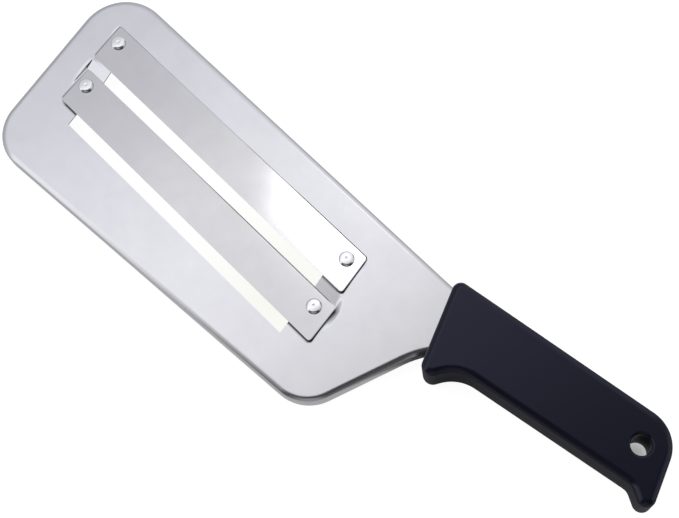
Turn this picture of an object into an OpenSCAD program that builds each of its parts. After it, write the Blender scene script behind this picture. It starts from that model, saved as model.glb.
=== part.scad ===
// Cabbage cutter: a rimmed steel plate with two slots, two riveted blades and a moulded handle.
// Origin at the middle of the hang hole. X runs along the blades towards the butt of the handle,
// Y from the leading edge towards the spine, and Z up through the face that carries the blades.

/* [Plate] */
// Thickness of the steel sheet
sheet_t = 1; // [0.6:0.1:1.4]
// How far the toe stands out from the blades, along the spine
toe_margin = 21.7; // [18:0.1:40]
// From the hang hole to the plate's heel corner
heel_reach = 117.1; // [111:0.1:124]
// How far the spine lies below the hang hole's middle
spine_drop = 2.9; // [1.5:0.1:5]
// Width of the plate at its toe
toe_w = 103.1; // [98:0.1:125]
// Angle at which the lower edge closes in towards the handle
low_taper = 4; // [0:0.1:6]
// Angle of the heel edge from square
heel_slope = 19.2; // [12:0.1:26]
// Radius of the toe's corner at the spine
toe_corner_r = 23.5; // [10:0.5:30]
// Radius of the toe's corner at the lower edge
low_corner_r = 21; // [10:0.5:30]
// Radius of the heel corner
heel_corner_r = 20.5; // [10:0.5:30]
// Radius of the hollow curve from the heel into the handle
neck_r = 45; // [36:0.5:54]
// Radius where the spine turns into the tang
spine_r = 20; // [10:0.5:40]

/* [Rim] */
// Depth of the turned-down rim, from the top of the sheet
rim_h = 7.5; // [5:0.1:9]
// Outer radius of the bend between sheet and rim
bend_r = 2.8; // [1.6:0.1:3.4]

/* [Tang] */
// From the hang hole's middle to the end of the tang
tang_end = 22; // [16:0.5:50]
// Upper edge of the tang above the hang hole's middle, along the handle
tang_top = 11.6; // [9:0.1:12.4]
// Lower edge of the tang below the hang hole's middle, along the handle
tang_bottom = 4.4; // [3:0.1:8]
// Radius of the tang's end corners
tang_corner_r = 5.5; // [4:0.5:7]
// From the end of the tang to the middle of its first key hole
key_inset = 7.5; // [6:0.5:10]
// Diameter of the holes that key the tang into the handle
key_d = 5; // [3:0.5:6]
// Number of key holes
key_count = 3; // [1:1:4]
// Distance between key holes
key_pitch = 17; // [10:0.5:18]

/* [Blades] */
// Width of a blade, from cutting edge to back
blade_w = 20.2; // [16:0.1:23]
// Length of a blade along its middle
blade_l = 172.5; // [150:0.5:176]
// Thickness of a blade
blade_t = 1; // [0.6:0.1:1]
// Tilt that lifts the cutting edge off the plate
blade_tilt = 5.6; // [2:0.1:6]
// Rake of the toe, the slots' ends and the blades' ends
end_rake = 8.8; // [0:0.1:12]
// How far the front blade is set towards the handle
stagger = 5.3; // [3:0.1:8]
// Radius of a blade's corners
blade_corner_r = 1.5; // [0.5:0.1:3]
// Width of the grind under the cutting edge
grind_w = 2.2; // [1:0.1:2.6]
// Thickness left at the cutting edge
edge_t = 0.15; // [0.05:0.05:0.4]
// From the hang hole to the middle of the pair of blades
blades_reach = 228.1; // [225:0.1:232]
// How far the middle of the pair lies below the hang hole
blades_drop = 43.8; // [40:0.1:48]

/* [Slots] */
// Gap in front of each cutting edge
slot_gap = 6.1; // [5:0.1:8]
// From a blade's end to the end of its slot
slot_inset = 12.1; // [11.5:0.1:20]
// How far a cutting edge stands out from its seat
overhang = 2.8; // [2.7:0.1:3.5]
// Width of the ledge that runs on in front of the front seat
ledge_w = 0.5; // [0.2:0.1:1]
// How far the crest of a seat runs on past its slot
crest_lead = 0.4; // [0.2:0.1:0.5]
// Clearance between a blade and the wall of its pressed seat
seat_gap = 0.25; // [0.1:0.05:0.6]

/* [Rivets] */
// Diameter of a rivet's head
head_d = 7.4; // [6:0.1:8]
// Height of a rivet's head
head_h = 1.4; // [1.1:0.1:2]
// Height of the straight rim below the dome
head_rim = 0.4; // [0.2:0.1:0.7]
// Diameter of the dimple in the head
dimple_d = 1.6; // [0.8:0.1:2.4]
// Depth of the dimple
dimple_h = 0.4; // [0.2:0.1:0.6]
// Diameter of the shank
shank_d = 3.4; // [2.5:0.1:4]
// Diameter of the closed tail under the plate
tail_d = 5.6; // [5:0.1:6.5]
// Height of the tail
tail_h = 1.2; // [0.9:0.1:1.6]
// Height of the straight rim of the tail
tail_rim = 0.3; // [0.1:0.1:0.6]
// Clearance round the shank
shank_gap = 0.1; // [0.05:0.05:0.3]
// From a blade's toe end to its rivet
toe_rivet_inset = 5.5; // [5:0.1:7]
// From a blade's heel end to its rivet
heel_rivet_inset = 7.5; // [6:0.1:8]
// From a blade's back to its rivet
rivet_back = 7; // [5:0.1:10]

/* [Handle] */
// Angle between the handle and the blades
handle_cant = 8.4; // [4:0.1:12]
// Thickness of the handle
handle_t = 24; // [18:0.1:28]
// Radius along the edges of both faces
edge_r = 3; // [1.5:0.1:3.2]
// Top of the handle above the hang hole's middle
grip_top = 15.2; // [14.6:0.1:19]
// Belly of the handle below the hang hole's middle
grip_bottom = 16.7; // [14:0.1:20]
// Angle at which the belly falls towards the plate
belly_slope = 1.2; // [0:0.1:3]
// From the hang hole to the front of the handle
front_reach = 103.5; // [101:0.1:106]
// From the hang hole to the butt
butt_reach = 14.1; // [13.5:0.1:20]
// Slope of the front and of the butt from square
end_slope = 14.2; // [8:0.1:18]
// Radius of the front's upper corner
front_corner_r = 4.1; // [4:0.1:8]
// Radius of the butt's upper corner
butt_corner_r = 17.5; // [10:0.5:19]
// From the hang hole to where the finger hollow starts down
hollow_reach = 82.3; // [78:0.1:84]
// Slope of the finger hollow towards the bolster
hollow_slope = 52; // [46:0.5:56]
// Radius of the finger hollow
hollow_r = 18.5; // [14:0.5:22]
// Radius of the bolster's tip
bolster_r = 4.7; // [4:0.1:6.5]
// From the hang hole to where the pommel starts down
hook_reach = 6; // [4:0.1:8]
// Slope of the pommel's inner side
hook_slope = 36; // [34:0.5:46]
// Radius between belly and pommel
hook_r = 6; // [4:0.5:10]
// Radius of the pommel's tip
pommel_r = 4.3; // [4:0.1:6]
// Clearance between the handle and the steel moulded into it
mould_gap = 0.1; // [0.05:0.05:0.3]

/* [Hang hole] */
// Diameter of the hang hole
hole_d = 9.3; // [6:0.1:10]
// Diameter of the dish round the hole
dish_d = 12.4; // [11:0.1:15]
// Depth of the dish
dish_h = 0.8; // [0.6:0.1:2]

/* [Hidden] */
$fn = 96;
// Largest step round a corner's arc, in degrees
arc_step = 7.5;
// Steps of a bend, and how many steps its end is drawn on
bend_steps = 6;
draw_steps = 1;

// Overlap that joins the parts of one solid, and the reach of a cut past a face
lap = 0.6;
// Length and height that pass right through the part
through = 60;
// Share of the pressed height at which the walls round the zone join both sheets
wall_share = 0.5;
// How far the walls are let down, and how far the flat sheet is cut back from them
wall_drop = 0.05;
wall_cut = 0.25;

sheet_top = sheet_t / 2;
sheet_bottom = -sheet_t / 2;

// Direction at an angle, a point turned about the hang hole, and the meeting of two lines
function unit(a) = [cos(a), sin(a)];
function turned(p, a) = [p.x * cos(a) - p.y * sin(a), p.x * sin(a) + p.y * cos(a)];
function cross2(a, b) = a.x * b.y - a.y * b.x;
function meet(p, a, q, b) = p + unit(a) * cross2(q - p, unit(b)) / cross2(unit(a), unit(b));
function on_handle(u, v) = turned([u, v], handle_cant);
function heading(p, q) = atan2(q.y - p.y, q.x - p.x);

// A rounded corner: [start, end, centre, radius, turn, heading on arrival]; a left turn is convex
function corner(before, v, after, r) =
    let (arrive = heading(before, v),
         leave = heading(v, after),
         turn = (leave - arrive + 540) % 360 - 180,
         reach = r * tan(abs(turn) / 2),
         start = v - reach * unit(arrive),
         side = turn > 0 ? 90 : -90)
    [start, v + reach * unit(leave), start + r * unit(arrive + side), r, turn, arrive];
function corners(list) =
    [for (i = [0 : len(list) - 1])
        corner(list[(i + len(list) - 1) % len(list)][0], list[i][0],
               list[(i + 1) % len(list)][0], list[i][1])];
function is_convex(k) = k[4] > 0;
function inset_r(k, inset) = is_convex(k) ? k[3] - inset : k[3] + inset;
function inset_point(k, p, inset) = k[2] + (p - k[2]) * inset_r(k, inset) / k[3];

// Filled outline of rounded corners, set in from its edge
module outline(ring, inset = 0) {
    difference() {
        union() {
            polygon([for (k = ring) each [inset_point(k, k[0], inset), inset_point(k, k[1], inset)]]);
            for (k = ring) if (is_convex(k)) translate(k[2]) circle(inset_r(k, inset));
        }
        for (k = ring) if (!is_convex(k)) translate(k[2]) circle(inset_r(k, inset));
    }
}

// Points round a ring, set in from its edge, with each corner's arc in equal steps
function loop(ring, inset) =
    [for (k = ring)
        let (steps = ceil(abs(k[4]) / arc_step), from = is_convex(k) ? k[5] - 90 : k[5] + 90)
        for (j = [0 : steps]) k[2] + inset_r(k, inset) * unit(from + k[4] * j / steps)];
// A skin drawn round a ring: the profile lists [inset, height] from the lower cap to the upper one
module loft(ring, profile) {
    loops = [for (p = profile) [for (q = loop(ring, p[0])) [q.x, q.y, p[1]]]];
    n = len(loops[0]);
    last = (len(loops) - 1) * n;
    sides = [for (l = [0 : len(loops) - 2]) for (i = [0 : n - 1])
                let (j = (i + 1) % n) [l * n + i, (l + 1) * n + i, (l + 1) * n + j, l * n + j]];
    lower = [for (i = [0 : n - 1]) i];
    upper = [for (i = [n - 1 : -1 : 0]) last + i];
    polyhedron([for (l = loops) each l], concat([lower], sides, [upper]));
}
// Part of a bend's profile about a centre: its steps from one angle to another
function bend(centre, r, from, to) =
    [for (j = [0 : bend_steps]) centre + r * unit(from + (to - from) * j / bend_steps)];
// A profile with its last step drawn on, so that it runs out through the face it is cut off by
function drawn_on(points) =
    let (n = len(points), last = points[n - 1], before = points[n - 2])
    [for (i = [0 : n - 1]) i < n - 1 ? points[i] : last + draw_steps * (last - before)];
// Everything between two heights
module slab(low, high) {
    translate([-2 * toe_reach, -toe_reach, low]) cube([3 * toe_reach, 2 * toe_reach, high - low]);
}

// Plate outline: tang, spine, toe, lower edge, heel and the curve back into the tang
toe_reach = blades_reach + stagger / 2 + blade_l / 2 + toe_margin;
toe_point = [-toe_reach, -spine_drop];
toe_dir = 90 + end_rake;
low_point = toe_point + toe_w / cos(end_rake) * unit(toe_dir + 180);
heel_point = meet(low_point, low_taper, [-heel_reach, 0], 90);
heel_dir = 90 - heel_slope;
tang_top_point = on_handle(-tang_end, tang_top);
tang_bottom_point = on_handle(-tang_end, -tang_bottom);
spine_point = meet(toe_point, 0, tang_top_point, handle_cant);
neck_point = meet(heel_point, heel_dir, tang_bottom_point, handle_cant);
plate_ring = corners([[tang_top_point, tang_corner_r], [spine_point, spine_r],
                      [toe_point, toe_corner_r], [low_point, low_corner_r],
                      [heel_point, heel_corner_r], [neck_point, neck_r],
                      [tang_bottom_point, tang_corner_r]]);

// Handle outline: front, bolster, finger hollow, belly, pommel and butt, in the handle's own direction
front_dir = 90 + end_slope;
belly_point = [0, -grip_bottom];
hollow_point = meet(belly_point, belly_slope, [-hollow_reach, 0], 90);
hook_point = meet(belly_point, belly_slope, [hook_reach, 0], 90);
handle_points = [
    [meet([-front_reach, 0], front_dir, [0, grip_top], 0), front_corner_r],
    [meet([-front_reach, 0], front_dir, hollow_point, hollow_slope), bolster_r],
    [hollow_point, hollow_r],
    [hook_point, hook_r],
    [meet([butt_reach, 0], front_dir, hook_point, -hook_slope), pommel_r],
    [meet([butt_reach, 0], front_dir, [0, grip_top], 0), butt_corner_r]];
handle_ring = corners(handle_points);

// Blades: the pair lies about one middle, and each back edge lies flush in the plate
blade_plan_w = blade_w * cos(blade_tilt);
blade_pitch = blade_plan_w + slot_gap;
seat_z = sheet_top - blade_t;
front_back_y = -blades_drop - slot_gap / 2;
rear_back_y = front_back_y + blade_pitch;
front_x = -blades_reach + stagger / 2;
rear_x = -blades_reach - stagger / 2;
rake = tan(end_rake);
function seat_height(from_back) = seat_z + from_back * tan(blade_tilt);
function raked(x, y, from_y) = x - (y - from_y) * rake;
grip_t = blade_t + sheet_t * cos(blade_tilt);

// A frame on a blade's seat: y runs from the back edge at zero, z up from the seat
module on_seat(x, back_y) {
    translate([x, back_y, seat_z]) rotate([-blade_tilt, 0, 0]) children();
}
// The rake in the tilted frame, from the blade's middle, so that ends stay parallel to the slots
function seat_x(x, y) = x - (y + blade_w / 2) * rake;

module blade(x, back_y) {
    half = blade_l / 2;
    ends = corners([for (p = [[-half, 0], [-half, -blade_w], [half, -blade_w], [half, 0]])
                       [[seat_x(p.x, p.y), p.y], blade_corner_r]]);
    on_seat(x, back_y) difference() {
        linear_extrude(blade_t) outline(ends);
        translate([-blade_l, -blade_w, 0]) rotate([90, 0, 90]) linear_extrude(2 * blade_l)
            polygon([[-lap, -lap], [grind_w, -lap], [grind_w, 0],
                     [0, blade_t - edge_t], [-lap, blade_t - edge_t]]);
        for (end = [-1, 1]) at_rivet(end) translate([0, 0, -lap])
            cylinder(d = shank_d + 2 * shank_gap, h = blade_t + 2 * lap);
    }
}
module at_rivet(end) {
    inset = end < 0 ? toe_rivet_inset : heel_rivet_inset;
    translate([seat_x(end * (blade_l / 2 - inset), -rivet_back), -rivet_back, 0]) children();
}

// Half of a domed button's section: a straight rim with a dome over it
module button_section(d, h, rim) {
    dome_h = h - rim;
    dome_r = (pow(d / 2, 2) + pow(dome_h, 2)) / (2 * dome_h);
    intersection() {
        translate([0, h - dome_r]) circle(dome_r);
        square([d / 2, h]);
    }
}
// A rivet: dimpled dome on the blade, shank through blade and sheet, closed tail below
module rivet(x, back_y, end) {
    on_seat(x, back_y) at_rivet(end) color("gainsboro") difference() {
        union() {
            translate([0, 0, blade_t - grip_t - lap]) cylinder(d = shank_d, h = grip_t + 2 * lap);
            translate([0, 0, blade_t]) rotate_extrude() button_section(head_d, head_h, head_rim);
            translate([0, 0, blade_t - grip_t]) mirror([0, 0, 1]) rotate_extrude()
                button_section(tail_d, tail_h, tail_rim);
        }
        translate([0, 0, blade_t + head_h - dimple_h]) cylinder(d = dimple_d, h = head_h);
    }
}

// Pressed zone: the sheet steps up under the front blade, falls to each back and steps up at the rear
seat_front = blade_plan_w - overhang * cos(blade_tilt);
seat_crest = seat_front + crest_lead;
zone_front_y = front_back_y - seat_crest - ledge_w;
zone_back_y = rear_back_y + seat_gap;
seat_points = [[zone_front_y - lap, seat_height(seat_crest)],
               [front_back_y - seat_crest, seat_height(seat_crest)],
               [front_back_y + seat_gap, seat_height(-seat_gap)],
               [rear_back_y - seat_crest, seat_height(seat_crest)],
               [zone_back_y + lap, seat_height(-seat_gap - lap)]];
// The pressed sheet's section, with its heights taken up only by a share and the whole let down
module seat_section(share, drop) {
    top = [for (p = seat_points) [p.x, sheet_top + (p.y - sheet_top) * share - drop]];
    under = [for (i = [len(top) - 1 : -1 : 0]) top[i] - [0, sheet_t]];
    polygon(concat(top, under));
}
// Raked strip of the plan between two lines across the blades
module raked_strip(x0, y0, x1, y1, low, high) {
    polygon([[raked(x0, low, y0), low], [raked(x1, low, y1), low],
             [raked(x1, high, y1), high], [raked(x0, high, y0), high]]);
}
front_mid_y = front_back_y - blade_plan_w / 2;
rear_mid_y = rear_back_y - blade_plan_w / 2;
module along_blades() {
    translate([-toe_reach, 0, 0]) rotate([90, 0, 90]) linear_extrude(toe_reach) children();
}
// Plan of the zone, its edges moved out by a margin: each blade has its own pair of ends
module zone_plan(margin = 0) {
    reach = blade_l / 2 + seat_gap + margin;
    raked_strip(front_x - reach, front_mid_y, front_x + reach, front_mid_y,
                zone_front_y - margin, -blades_drop + margin);
    raked_strip(rear_x - reach, rear_mid_y, rear_x + reach, rear_mid_y,
                -blades_drop - lap - margin, zone_back_y + margin);
}
module tall() {
    translate([0, 0, -through / 2]) linear_extrude(through) children();
}
module pressed_seats() {
    intersection() {
        tall() zone_plan(sheet_t);
        along_blades() seat_section(1, 0);
    }
    // Walls that carry the pressed sheet up to the flat one, round the zone
    intersection() {
        tall() difference() {
            zone_plan(sheet_t);
            zone_plan();
        }
        along_blades() seat_section(wall_share, wall_drop);
    }
}

// A slot in front of a blade: it runs on under the edge, as far as the seat stands back
module slot_plan(x, back_y) {
    mid_y = back_y - blade_plan_w / 2;
    half = blade_l / 2 - slot_inset;
    raked_strip(x - half, mid_y, x + half, mid_y,
                back_y - blade_plan_w - slot_gap, back_y - seat_front);
}

// Sheet with its turned-down rim: the outer skin less the room under it, both cut off level
rim_foot = sheet_top - rim_h;
function rim_profile(r, inset, low) =
    concat([[inset, low]], drawn_on(bend([bend_r, sheet_top - bend_r], r, 180, 90)));
module rimmed_sheet() {
    difference() {
        intersection() {
            loft(plate_ring, rim_profile(bend_r, 0, rim_foot - lap));
            slab(rim_foot, sheet_top);
        }
        intersection() {
            loft(plate_ring, rim_profile(bend_r - sheet_t, sheet_t, rim_foot - 2 * lap));
            slab(-through, sheet_bottom);
        }
    }
}
// Key holes along the middle of the tang
module key_plan(d) {
    mid = (tang_top - tang_bottom) / 2;
    for (i = [0 : key_count - 1])
        translate(on_handle(-tang_end - key_inset - i * key_pitch, mid)) circle(d = d);
}

module plate() {
    color("lightgray") difference() {
        union() {
            difference() {
                rimmed_sheet();
                tall() zone_plan(wall_cut);
            }
            pressed_seats();
        }
        tall() slot_plan(front_x, front_back_y);
        tall() slot_plan(rear_x, rear_back_y);
        for (end = [-1, 1]) {
            on_seat(front_x, front_back_y) at_rivet(end) rivet_hole();
            on_seat(rear_x, rear_back_y) at_rivet(end) rivet_hole();
        }
        tall() key_plan(key_d);
    }
}
module rivet_hole() {
    translate([0, 0, -grip_t]) cylinder(d = shank_d + 2 * shank_gap, h = 2 * grip_t);
}

module front_blade() { color("silver") blade(front_x, front_back_y); }
module rear_blade() { color("silver") blade(rear_x, rear_back_y); }
module front_toe_rivet() { rivet(front_x, front_back_y, -1); }
module front_heel_rivet() { rivet(front_x, front_back_y, 1); }
module rear_toe_rivet() { rivet(rear_x, rear_back_y, -1); }
module rear_heel_rivet() { rivet(rear_x, rear_back_y, 1); }

// The handle's side, with both faces' edges rounded
grip_half = handle_t / 2;
function upper_edge() = drawn_on(bend([edge_r, grip_half - edge_r], edge_r, 180, 90));
function handle_profile() =
    let (upper = upper_edge())
    concat([for (i = [len(upper) - 1 : -1 : 0]) [upper[i].x, -upper[i].y]], upper);
// A layer of the hollow for the steel, between two heights and two insets from the plate's edge
module hollow_layer(low, high, outer, inner) {
    translate([0, 0, low]) linear_extrude(high - low) difference() {
        polygon(loop(plate_ring, outer));
        polygon(loop(plate_ring, inner));
    }
}
// Hollow that takes the tang: the rim's foot, its bend and the sheet, with posts through the key holes
module tang_hollow() {
    bend_low = sheet_top - bend_r - mould_gap;
    bend_in = bend_r * (1 - cos(45));
    bend_high = sheet_top - bend_in + mould_gap;
    hollow_layer(sheet_top - rim_h - mould_gap, bend_low + lap, -mould_gap, sheet_t + mould_gap);
    hollow_layer(bend_low, bend_high, -mould_gap, bend_r + mould_gap);
    translate([0, 0, sheet_bottom - mould_gap]) linear_extrude(sheet_t + 2 * mould_gap) difference() {
        polygon(loop(plate_ring, bend_in - mould_gap));
        key_plan(key_d - 2 * mould_gap);
    }
}
// Hang hole with a shallow dish on both faces
module hang_hole() {
    dish_r = (pow(dish_d / 2, 2) + pow(dish_h, 2)) / (2 * dish_h);
    translate([0, 0, -through / 2]) cylinder(d = hole_d, h = through);
    for (side = [-1, 1]) translate([0, 0, side * (grip_half - dish_h + dish_r)]) sphere(dish_r);
}
module handle() {
    color("#22232d") difference() {
        intersection() {
            rotate([0, 0, handle_cant]) loft(handle_ring, handle_profile());
            slab(-grip_half, grip_half);
        }
        tang_hollow();
        hang_hole();
    }
}

plate();
front_blade();
rear_blade();
front_toe_rivet();
front_heel_rivet();
rear_toe_rivet();
rear_heel_rivet();
handle();
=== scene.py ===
# %% [markdown]
# # A cabbage cutter, dressed around its construction
# The construction is a set of exact solids: a rimmed plate, two blades, four rivets and a handle.
# They say where everything is and how large it is, and they are never moved or changed here.
# This lesson makes finer surfaces in the same places, gives them their finishes and sets up a picture.

import bpy
import numpy as np
from mathutils import Matrix
from mathutils.geometry import tessellate_polygon


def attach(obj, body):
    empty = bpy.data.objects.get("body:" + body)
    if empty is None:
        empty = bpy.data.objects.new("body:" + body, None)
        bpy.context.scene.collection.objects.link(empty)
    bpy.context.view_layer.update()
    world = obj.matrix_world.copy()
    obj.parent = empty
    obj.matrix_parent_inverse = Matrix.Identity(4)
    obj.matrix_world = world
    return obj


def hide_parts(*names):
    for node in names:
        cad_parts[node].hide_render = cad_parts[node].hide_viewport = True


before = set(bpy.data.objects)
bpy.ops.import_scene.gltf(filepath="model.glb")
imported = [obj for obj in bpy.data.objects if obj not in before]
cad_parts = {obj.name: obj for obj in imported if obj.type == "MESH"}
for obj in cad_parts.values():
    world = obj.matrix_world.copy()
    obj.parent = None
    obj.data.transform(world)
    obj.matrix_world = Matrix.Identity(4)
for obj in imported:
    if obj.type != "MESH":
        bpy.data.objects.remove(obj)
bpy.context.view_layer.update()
print("nodes:", sorted(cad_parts))

# %% [markdown]
# ## Points and angles
# Outlines are drawn as a maker marks them out: by lines at an angle and the places where they meet.
# Sizes are written in millimetres, as in the construction, and turned into metres at the very end.

# %% Points and angles
MM = 0.001


def unit(angle):
    """Directions at angles: (cos a, sin a)."""
    return np.stack([np.cos(angle), np.sin(angle)], -1)


def turned(points, angle):
    """Plan points turned about the origin by an angle."""
    c, s = np.cos(angle), np.sin(angle)
    return np.asarray(points, float) @ np.array([[c, s], [-s, c]])


def meet(p, a, q, b):
    """Where the line from p at angle a meets the line from q at angle b, with angles in degrees."""
    d, e = unit(np.radians(a)), unit(np.radians(b))
    gap = np.subtract(q, p)
    return np.asarray(p, float) + d * (gap[0] * e[1] - gap[1] * e[0]) / (d[0] * e[1] - d[1] * e[0])


print("a level line and an upright one meet at", meet((0, 2), 0, (3, 0), 90).round(3).tolist())

# %% [markdown]
# ## Skins
# Every piece below is a set of points worked out with numpy, and quads that join neighbours.
# A flat face with holes is the exception: there the points of its edges are joined by triangles.
# A thin piece is two skins with the same faces, so its walls follow from the edges that stay open.

# %% Skins of quads and triangles


def grid_quads(rows, cols, closed=False):
    """Quads of a grid of rows by cols points; closed joins the last column to the first."""
    r, c = np.meshgrid(np.arange(rows - 1), np.arange(cols - (not closed)), indexing="ij")
    n = (c + 1) % cols
    quads = np.stack([r * cols + c, r * cols + n, (r + 1) * cols + n, (r + 1) * cols + c], -1)
    return quads.reshape(-1, 4)


def edge_pairs(faces):
    """Edges that only one face uses, as pairs of points in that face's own direction."""
    pairs = np.concatenate([np.stack([f, np.roll(f, -1, 1)], -1).reshape(-1, 2) for f in faces])
    key = np.sort(pairs, 1)
    _, first, count = np.unique(key, axis=0, return_index=True, return_counts=True)
    return pairs[first[count == 1]]


def two_skins(upper, lower, faces):
    """A closed shell from two skins with the same faces: the lower one is turned over,
    and a wall joins the two at each open edge."""
    n = len(upper)
    rim = edge_pairs(faces)
    walls = np.stack([rim[:, 1], rim[:, 0], rim[:, 0] + n, rim[:, 1] + n], -1)
    return np.concatenate([upper, lower]), [*faces, *[f[:, ::-1] + n for f in faces], walls]


def flat_fill(points, *loops):
    """Triangles over a flat face between closed loops of point numbers: the outer one, then its holes."""
    lines = [[tuple(p) for p in points[loop]] for loop in loops]
    return np.concatenate(loops)[np.array(tessellate_polygon(lines))]


def facing(points, triangles, up):
    """Triangles turned so that all of them face up or down."""
    a, b, c = (points[triangles[:, i], :2] for i in range(3))
    area = (b - a)[:, 0] * (c - a)[:, 1] - (b - a)[:, 1] * (c - a)[:, 0]
    return np.where(((area > 0) == up)[:, None], triangles, triangles[:, ::-1])


print("a grid of 3 by 4 points has", len(grid_quads(3, 4)), "quads")

# %% [markdown]
# ## Pieces
# A finished piece keeps its place in its mesh, so its object stays at the origin. It rides on the
# one body of this part and stands for one node of the construction.
# Shading is smooth, and only edges sharper than an angle stay crisp.

# %% Meshes that stand for nodes


def make_piece(name, points, faces, node, sharp=35):
    """A mesh that stands for a CAD node: smooth, apart from edges over an angle in degrees."""
    mesh = bpy.data.meshes.new(name)
    polygons = [polygon for group in faces for polygon in group.tolist()]
    mesh.from_pydata((np.asarray(points) * MM).tolist(), [], polygons)
    mesh.update()
    mesh.shade_smooth()
    mesh.set_sharp_from_angle(angle=np.radians(sharp))
    piece = bpy.data.objects.new(name, mesh)
    bpy.context.scene.collection.objects.link(piece)
    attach(piece, "root")
    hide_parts(node)
    print(f"{name}: {len(mesh.vertices)} points, {len(mesh.polygons)} faces")
    return piece


def carry_painted_shade(piece, share):
    """Each point of a piece keeps its share of painted shade in a point attribute."""
    attribute = piece.data.attributes.new("painted_shade", "FLOAT", "POINT")
    attribute.data.foreach_set("value", share.astype(np.float32))
    print(f"{piece.name}: {int((share > 0.5).sum())} soiled points")


print("one unit of the mesh is", round(1 / MM), "mm")

# %% [markdown]
# ## Outlines with rounded corners
# The plate and the handle are both cut to an outline of straight edges and round corners.
# Each corner is an arc that touches both edges, and an outline set in by a distance keeps the
# arcs' middles and only changes their radii. So the bends along the edges can be drawn as a
# profile of distances and heights that is carried round the outline.

# %% Rounded rings


def rounded_ring(corners):
    """Arcs of an outline of (point, radius): middle, radius, side, first angle and turn of each.
    An arc leaves an edge at the distance r * tan(turn / 2) before the corner."""
    v = np.array([c[0] for c in corners], float)
    r = np.array([c[1] for c in corners], float)
    come, go = v - np.roll(v, 1, 0), np.roll(v, -1, 0) - v
    arrive, leave = np.arctan2(come[:, 1], come[:, 0]), np.arctan2(go[:, 1], go[:, 0])
    turn = (leave - arrive + np.pi) % (2 * np.pi) - np.pi
    side = np.sign(turn)
    start = v - (r * np.tan(np.abs(turn) / 2))[:, None] * unit(arrive)
    middle = start + r[:, None] * unit(arrive + side * np.pi / 2)
    return middle, r, side, arrive - side * np.pi / 2, turn


def ring_loops(ring, profile, steps):
    """Loops of points, one for each (inset, height) of a profile:
    middle + (r - side * inset) * unit(first + turn * t)."""
    middle, r, side, first, turn = ring
    inset, height = np.asarray(profile, float).T
    angle = first[:, None] + turn[:, None] * np.linspace(0, 1, steps)
    reach = r - side * inset[:, None]
    plan = middle[:, None] + reach[:, :, None, None] * unit(angle)
    plan = plan.reshape(len(inset), -1, 2)
    return np.concatenate([plan, np.broadcast_to(height[:, None, None], (*plan.shape[:2], 1))], 2)


def bend(middle, r, start, stop, steps):
    """Points of a profile round a bend: middle + r * unit(angle), with angles in degrees."""
    return np.asarray(middle, float) + r * unit(np.radians(np.linspace(start, stop, steps)))


print("a bend of three points:", bend((0, 0), 1, 180, 90, 3).round(2).tolist())

# %% [markdown]
# ## The plate's outline
# The plate is one pressed sheet with a raked toe, a slanted heel and a tang that runs into the handle.
# It could be traced point by point, but seven corners with their radii say the same and can be changed.

# %% Outline of the plate
SHEET, TOP = 1.0, 0.5
CANT, RAKE_DEG, LEADING_SLOPE, HEEL_LEAN = 8.4, 8.8, 4.0, 19.2
TOE, SPINE_DROP, TOE_W, HEEL_REACH = 338.7, 2.9, 103.1, 117.1
TANG_END, TANG_UPPER, TANG_LOWER = -22.0, 11.6, -4.4
TANG_R, SHOULDER_R, TOE_R, LOW_R, HEEL_R, NECK_R = 5.5, 20.0, 23.5, 21.0, 20.5, 45.0
RAKE = np.tan(np.radians(RAKE_DEG))
toe_corner = np.array([-TOE, -SPINE_DROP])
low_corner = toe_corner - TOE_W / np.cos(np.radians(RAKE_DEG)) * unit(np.radians(90 + RAKE_DEG))
heel_corner = meet(low_corner, LEADING_SLOPE, (-HEEL_REACH, 0), 90)
tang_upper = turned([TANG_END, TANG_UPPER], np.radians(CANT))
tang_lower = turned([TANG_END, TANG_LOWER], np.radians(CANT))
shoulder_corner = meet(toe_corner, 0, tang_upper, CANT)
neck_corner = meet(heel_corner, 90 - HEEL_LEAN, tang_lower, CANT)
plate_ring = rounded_ring([
    (tang_upper, TANG_R), (shoulder_corner, SHOULDER_R), (toe_corner, TOE_R), (low_corner, LOW_R),
    (heel_corner, HEEL_R), (neck_corner, NECK_R), (tang_lower, TANG_R)])
print("corners of the plate:", len(plate_ring[0]))

# %% [markdown]
# ## The turned-down rim
# The edge of the sheet is turned down all round, which stiffens it. Its section is a short leg, a
# bend and a narrow flat, and the same section with the inner radius makes the lower skin.
# A hair's breadth of inset keeps the dressed rim inside the construction.

# %% Turned-down rim
BEND_R, RIM, HOLD, WITHIN = 2.8, 7.5, 0.4, 0.05
BEND_STEPS, CORNER_STEPS = 11, 17
bend_middle = (BEND_R, TOP - BEND_R)
foot = TOP - RIM
flat_from = BEND_R + HOLD
outer_bend = bend(bend_middle, BEND_R, 180, 90, BEND_STEPS)
inner_bend = bend(bend_middle, BEND_R - SHEET, 180, 90, BEND_STEPS)
outer = np.concatenate([[(0, foot)], outer_bend, [(flat_from, TOP)]])
inner = np.concatenate([[(SHEET, foot)], inner_bend, [(flat_from, TOP - SHEET)]])
rim_upper = ring_loops(plate_ring, outer + [WITHIN, 0], CORNER_STEPS)
rim_lower = ring_loops(plate_ring, inner + [WITHIN, 0], CORNER_STEPS)
print("points round the plate:", rim_upper.shape[1])

# %% [markdown]
# ## Seats across the blades
# In the middle of the plate two louvre seats are pressed. Each rises from the back of a blade to a
# crest under the cutting edge, and in front of each crest there is a slot for the cut strips.
# All of this is one line of heights across the blades, with a wall behind the rear blade.

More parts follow.
